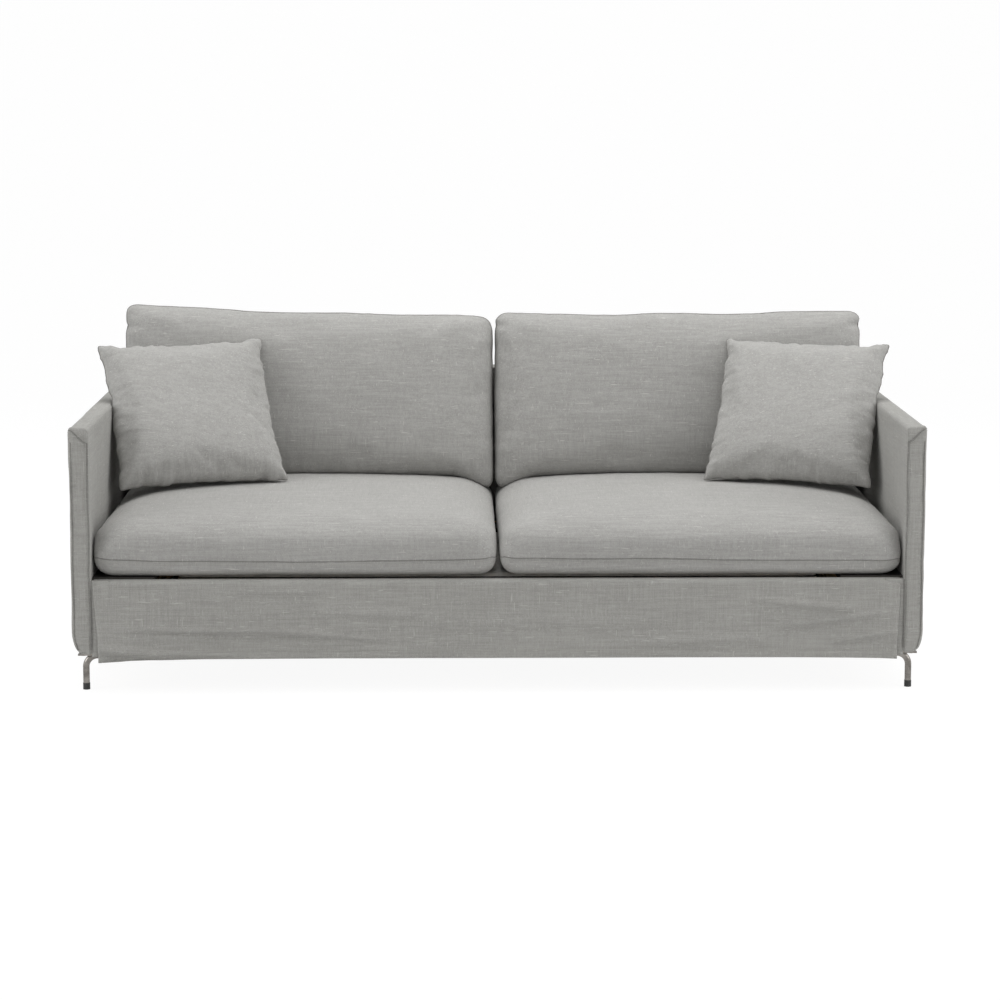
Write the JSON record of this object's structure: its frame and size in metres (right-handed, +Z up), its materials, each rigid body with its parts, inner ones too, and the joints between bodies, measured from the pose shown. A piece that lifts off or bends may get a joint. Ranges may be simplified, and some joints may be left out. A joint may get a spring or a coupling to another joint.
{
  "type": "sofa bed",
  "caption": "Slip-covered sofa bed with slim arms, loose seat and back cushions, and a folding steel bed frame under the seat.",
  "frame": {"origin": "on the floor at the centre of the sofa's plan", "axes": "+Z up, -Y to the front, +X to the right seen from behind the sofa"},
  "size_m": [2.05, 0.9449, 0.8498],
  "materials": {
    "linen": "woven grey linen blend with light slubs",
    "ticking": "plain woven mattress ticking",
    "timber": "planed softwood",
    "plywood": "sanded plywood",
    "webbing": "woven elastic webbing",
    "frame_steel": "satin powder coat",
    "plated_steel": "plated",
    "foot_steel": "brushed plating",
    "glide_plastic": "moulded",
    "strap_web": "woven strap"
  },
  "bodies": {
    "root": {"arm_frame_left": "timber", "arm_frame_right": "timber", "arm_cover_left": "linen", "arm_cover_right": "linen", "front_rail": "timber", "rear_rail": "timber", "side_rail_left": "timber", "side_rail_right": "timber", "bearer_left": "timber", "bearer_right": "timber", "side_deck_left": "plywood", "side_deck_right": "plywood", "rear_deck": "plywood", "back_top_rail": "timber", "back_bottom_rail": "timber", "back_posts": "timber", "back_webbing": "webbing", "back_cover": "linen", "front_skirt": "linen", "rear_skirt": "linen", "foot_front_left": "foot_steel", "foot_front_right": "foot_steel", "foot_rear_left": "foot_steel", "foot_rear_right": "foot_steel", "foot_glides": "glide_plastic", "foot_screws": "plated_steel", "lift_plate_left": "frame_steel", "lift_plate_right": "frame_steel", "lift_studs": "plated_steel", "plate_bolts": "plated_steel"},
    "front_lift": {"front_lift_arms": "frame_steel"},
    "rear_lift": {"rear_lift_arms": "frame_steel"},
    "head_section": {"head_frame": "frame_steel", "head_hinges": "plated_steel", "head_mattress": "ticking"},
    "middle_section": {"middle_frame": "frame_steel", "middle_hinges": "plated_steel", "middle_mattress": "ticking"},
    "foot_section": {"foot_frame": "frame_steel", "foot_hinges": "plated_steel", "foot_mattress": "ticking", "pull_strap": "strap_web"},
    "fold_link_pair": {"fold_links": "plated_steel"},
    "middle_leg": {"middle_leg_posts": "frame_steel", "middle_leg_brace": "frame_steel", "middle_leg_glides": "glide_plastic"},
    "end_leg": {"end_leg_posts": "frame_steel", "end_leg_brace": "frame_steel", "end_leg_glides": "glide_plastic"},
    "seat_left": {"seat_cushion_left": "linen"},
    "back_left": {"back_cushion_left": "linen"},
    "pillow_left": {"throw_pillow_left": "linen"},
    "seat_right": {"seat_cushion_right": "linen"},
    "back_right": {"back_cushion_right": "linen"},
    "pillow_right": {"throw_pillow_right": "linen"}
  },
  "joints": [
    {"name": "bed_unfold", "type": "hinge", "parent": "head_section", "child": "middle_section", "pos_m": [0, -0.376, 0.154], "axis": [1, 0, 0], "range_deg": [0, 180]},
    {"name": "front_lift_swing", "type": "hinge", "parent": "root", "child": "front_lift", "pos_m": [0, -0.07946, 0.16812], "axis": [-1, 0, 0], "range_deg": [0, 64.8]},
    {"name": "rear_lift_swing", "type": "hinge", "parent": "root", "child": "rear_lift", "pos_m": [0, 0.24054, 0.16812], "axis": [-1, 0, 0], "range_deg": [0, 64.8]},
    {"name": "head_level", "type": "hinge", "parent": "front_lift", "child": "head_section", "pos_m": [0, -0.268, 0.0995], "axis": [1, 0, 0], "range_deg": [0, 64.8]},
    {"name": "foot_level", "type": "hinge", "parent": "middle_section", "child": "foot_section", "pos_m": [0, 0.264, 0.217], "axis": [-1, 0, 0], "range_deg": [0, 180]},
    {"name": "fold_link_swing", "type": "hinge", "parent": "head_section", "child": "fold_link_pair", "pos_m": [0, -0.348, 0.132], "axis": [1, 0, 0], "range_deg": [0, 180]},
    {"name": "middle_leg_fold", "type": "hinge", "parent": "middle_section", "child": "middle_leg", "pos_m": [0, 0.209, 0.2098], "axis": [-1, 0, 0], "range_deg": [0, 90]},
    {"name": "end_leg_fold", "type": "hinge", "parent": "foot_section", "child": "end_leg", "pos_m": [0, -0.344, 0.2242], "axis": [-1, 0, 0], "range_deg": [0, 90]},
    {"name": "seat_left_lift", "type": "slide", "parent": "foot_section", "child": "seat_left", "axis": [0, 0, 1], "range_m": [0, 0.42]},
    {"name": "back_left_lift", "type": "slide", "parent": "seat_left", "child": "back_left", "axis": [0, 0, 1], "range_m": [0, 0.32]},
    {"name": "pillow_left_lift", "type": "slide", "parent": "back_left", "child": "pillow_left", "axis": [0, -0.5, 0.866], "range_m": [0, 0.3]},
    {"name": "seat_right_lift", "type": "slide", "parent": "foot_section", "child": "seat_right", "axis": [0, 0, 1], "range_m": [0, 0.42]},
    {"name": "back_right_lift", "type": "slide", "parent": "seat_right", "child": "back_right", "axis": [0, 0, 1], "range_m": [0, 0.32]},
    {"name": "pillow_right_lift", "type": "slide", "parent": "back_right", "child": "pillow_right", "axis": [0, -0.5, 0.866], "range_m": [0, 0.3]}
  ],
  "couplings": [
    {"joint": "front_lift_swing", "follows": "bed_unfold", "ratio": 0.36},
    {"joint": "rear_lift_swing", "follows": "bed_unfold", "ratio": 0.36},
    {"joint": "head_level", "follows": "bed_unfold", "ratio": 0.36},
    {"joint": "foot_level", "follows": "bed_unfold", "ratio": 1},
    {"joint": "fold_link_swing", "follows": "bed_unfold", "ratio": 1},
    {"joint": "middle_leg_fold", "follows": "bed_unfold", "ratio": 0.5},
    {"joint": "end_leg_fold", "follows": "bed_unfold", "ratio": 0.5}
  ]
}
